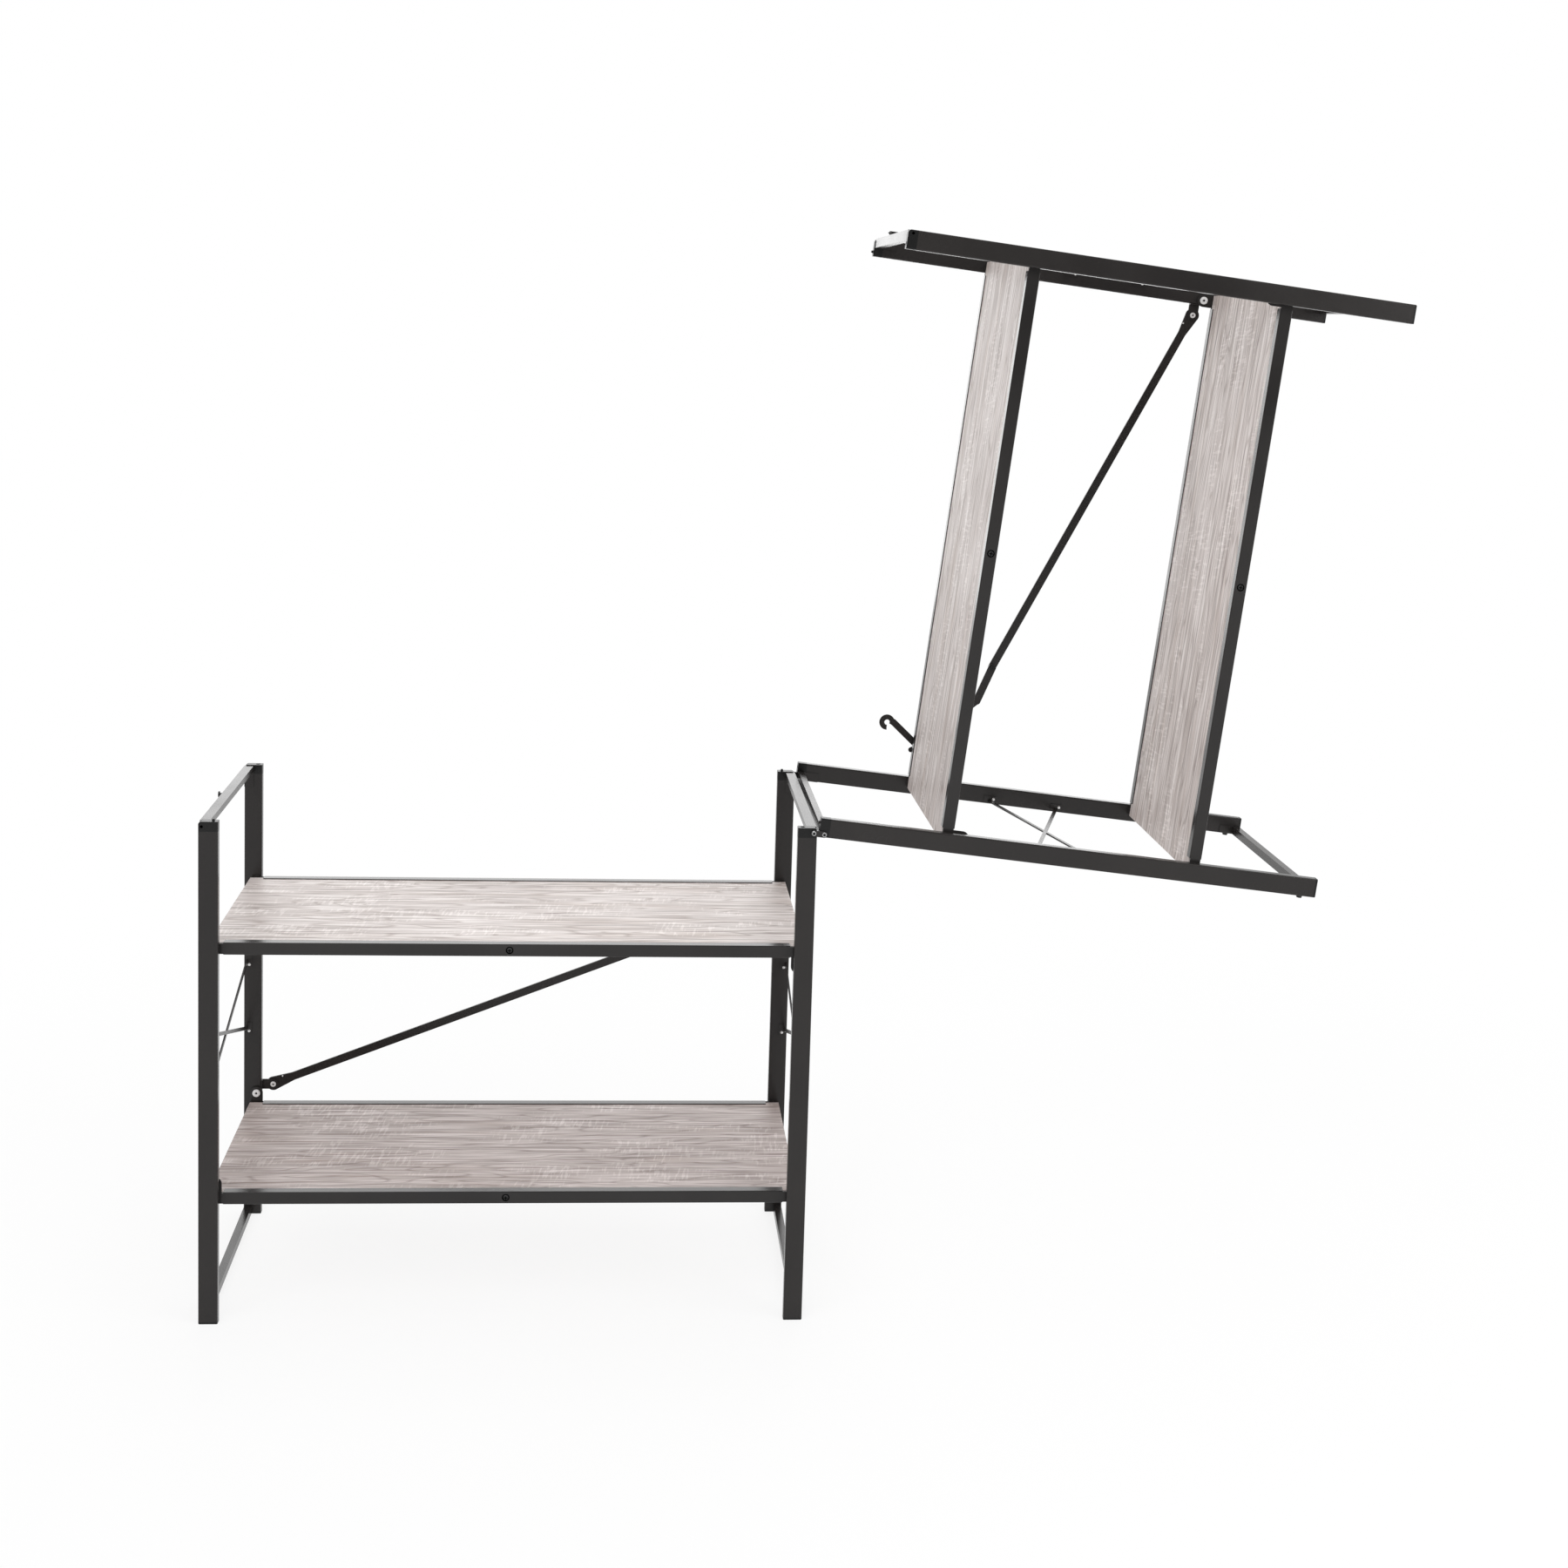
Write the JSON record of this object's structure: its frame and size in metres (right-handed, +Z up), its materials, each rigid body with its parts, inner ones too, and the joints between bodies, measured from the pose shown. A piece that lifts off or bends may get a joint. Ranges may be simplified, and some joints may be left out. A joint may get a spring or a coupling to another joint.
{
  "type": "folding storage rack",
  "caption": "Folding storage rack of two hinged shelf units with tubular steel ends and wood-print boards, the upper unit swung out sideways from the standing lower unit.",
  "frame": {"origin": "centre of the bounding box in plan, on the floor plane under the feet", "axes": "+X to the right of the standing unit towards the swung unit, +Y from the front to the diagonal braces at the rear, +Z up"},
  "size_m": [1.4304, 0.3368, 1.3334],
  "materials": {
    "charcoal_steel": "satin dark charcoal powder coat",
    "oak_print_board": "satin grey-beige oak print",
    "cap_plastic": "matte black",
    "bumper_rubber": "matte black",
    "black_screw_steel": "satin black",
    "rivet_steel": "bright zinc"
  },
  "bodies": {
    "lower_left_frame": {"lower_left_bottom_bar": "charcoal_steel", "lower_left_cross_brace": "charcoal_steel", "lower_left_end_caps": "cap_plastic", "lower_left_front_post": "charcoal_steel", "lower_left_pivot_rivets": "rivet_steel", "lower_left_rear_post": "charcoal_steel", "lower_left_top_bar": "charcoal_steel", "lower_brace_bracket": "charcoal_steel", "latch_stud": "black_screw_steel"},
    "lower_right_frame": {"lower_right_bottom_bar": "charcoal_steel", "lower_right_cross_brace": "charcoal_steel", "lower_right_end_caps": "cap_plastic", "lower_right_front_post": "charcoal_steel", "lower_right_pivot_rivets": "rivet_steel", "lower_right_rear_post": "charcoal_steel", "lower_right_top_bar": "charcoal_steel", "lower_brace_catch": "charcoal_steel"},
    "bottom_shelf": {"bottom_shelf_board": "oak_print_board", "bottom_shelf_front_rail": "charcoal_steel", "bottom_shelf_rail_screws": "black_screw_steel", "bottom_shelf_rear_rail": "charcoal_steel"},
    "second_shelf": {"second_shelf_board": "oak_print_board", "second_shelf_front_rail": "charcoal_steel", "second_shelf_rail_screws": "black_screw_steel", "second_shelf_rear_rail": "charcoal_steel"},
    "third_shelf": {"third_shelf_board": "oak_print_board", "third_shelf_front_rail": "charcoal_steel", "third_shelf_rail_screws": "black_screw_steel", "third_shelf_rear_rail": "charcoal_steel"},
    "top_shelf": {"top_shelf_board": "oak_print_board", "top_shelf_front_rail": "charcoal_steel", "top_shelf_rail_screws": "black_screw_steel", "top_shelf_rear_rail": "charcoal_steel"},
    "lower_brace": {"lower_brace_bar": "charcoal_steel", "lower_brace_rivets": "rivet_steel"},
    "lower_brace_hook": {"lower_brace_hook": "charcoal_steel"},
    "hinge_links": {"hinge_links": "charcoal_steel", "hinge_rivets": "rivet_steel"},
    "upper_right_frame": {"upper_right_bottom_bar": "charcoal_steel", "upper_right_cross_brace": "charcoal_steel", "upper_right_end_caps": "cap_plastic", "upper_right_front_post": "charcoal_steel", "upper_right_pivot_rivets": "rivet_steel", "upper_right_rear_post": "charcoal_steel", "upper_right_top_bar": "charcoal_steel", "upper_brace_catch": "charcoal_steel", "bumpers": "bumper_rubber"},
    "upper_left_frame": {"upper_left_bottom_bar": "charcoal_steel", "upper_left_cross_brace": "charcoal_steel", "upper_left_end_caps": "cap_plastic", "upper_left_front_post": "charcoal_steel", "upper_left_pivot_rivets": "rivet_steel", "upper_left_rear_post": "charcoal_steel", "upper_left_top_bar": "charcoal_steel", "upper_brace_bracket": "charcoal_steel", "latch_rivet": "black_screw_steel"},
    "upper_brace": {"upper_brace_bar": "charcoal_steel", "upper_brace_rivets": "rivet_steel"},
    "upper_brace_hook": {"upper_brace_hook": "charcoal_steel"},
    "latch_hook": {"latch_hook": "charcoal_steel"}
  },
  "joints": [
    {"name": "lower_fold", "type": "hinge", "parent": "lower_left_frame", "child": "bottom_shelf", "pos_m": [-0.6922, 0, 0.1695], "axis": [0, -1, 0], "range_deg": [0, 85]},
    {"name": "second_shelf_turn", "type": "hinge", "parent": "lower_left_frame", "child": "second_shelf", "pos_m": [-0.6922, 0, 0.4595], "axis": [0, -1, 0], "range_deg": [0, 85]},
    {"name": "lower_right_frame_turn", "type": "hinge", "parent": "bottom_shelf", "child": "lower_right_frame", "pos_m": [0.0018, 0, 0.1515], "axis": [0, -1, 0], "range_deg": [-85, 0]},
    {"name": "lower_brace_turn", "type": "hinge", "parent": "lower_left_frame", "child": "lower_brace", "pos_m": [-0.6712, 0, 0.179], "axis": [0, -1, 0], "range_deg": [0, 70]},
    {"name": "lower_brace_hook_turn", "type": "hinge", "parent": "lower_brace", "child": "lower_brace_hook", "pos_m": [-0.16598, 0, 0.37391], "axis": [0, -1, 0], "range_deg": [-8, 30]},
    {"name": "hinge_lower_rivet_turn", "type": "hinge", "parent": "lower_right_frame", "child": "hinge_links", "pos_m": [0.0148, 0, 0.61], "axis": [0, 1, 0], "range_deg": [-96.5, 8]},
    {"name": "hinge_upper_rivet_turn", "type": "hinge", "parent": "hinge_links", "child": "upper_right_frame", "pos_m": [0.02732, 0, 0.60857], "axis": [0, 1, 0], "range_deg": [0, 65]},
    {"name": "upper_fold", "type": "hinge", "parent": "upper_right_frame", "child": "third_shelf", "pos_m": [0.19621, 0, 0.60242], "axis": [0, 1, 0], "range_deg": [0, 85]},
    {"name": "top_shelf_turn", "type": "hinge", "parent": "upper_right_frame", "child": "top_shelf", "pos_m": [0.48435, 0, 0.56959], "axis": [0, 1, 0], "range_deg": [0, 85]},
    {"name": "upper_left_frame_turn", "type": "hinge", "parent": "third_shelf", "child": "upper_left_frame", "pos_m": [0.25689, 0, 1.29399], "axis": [0, 1, 0], "range_deg": [-85, 0]},
    {"name": "upper_brace_turn", "type": "hinge", "parent": "upper_left_frame", "child": "upper_brace", "pos_m": [0.53321, 0, 1.24137], "axis": [0, 1, 0], "range_deg": [0, 70]},
    {"name": "upper_brace_hook_turn", "type": "hinge", "parent": "upper_brace", "child": "upper_brace_hook", "pos_m": [0.28236, 0, 0.76146], "axis": [0, 1, 0], "range_deg": [-33.7, 12]},
    {"name": "latch_hook_turn", "type": "hinge", "parent": "upper_left_frame", "child": "latch_hook", "pos_m": [0.10829, 0.022, 1.32803], "axis": [-0.1132, 0, -0.9936], "range_deg": [-90, 25.73]}
  ],
  "couplings": [
    {"joint": "second_shelf_turn", "follows": "lower_fold", "ratio": 1},
    {"joint": "lower_right_frame_turn", "follows": "lower_fold", "ratio": -1},
    {"joint": "lower_brace_turn", "follows": "lower_fold", "ratio": 0.82},
    {"joint": "top_shelf_turn", "follows": "upper_fold", "ratio": 1},
    {"joint": "upper_left_frame_turn", "follows": "upper_fold", "ratio": -1},
    {"joint": "upper_brace_turn", "follows": "upper_fold", "ratio": 0.82}
  ]
}
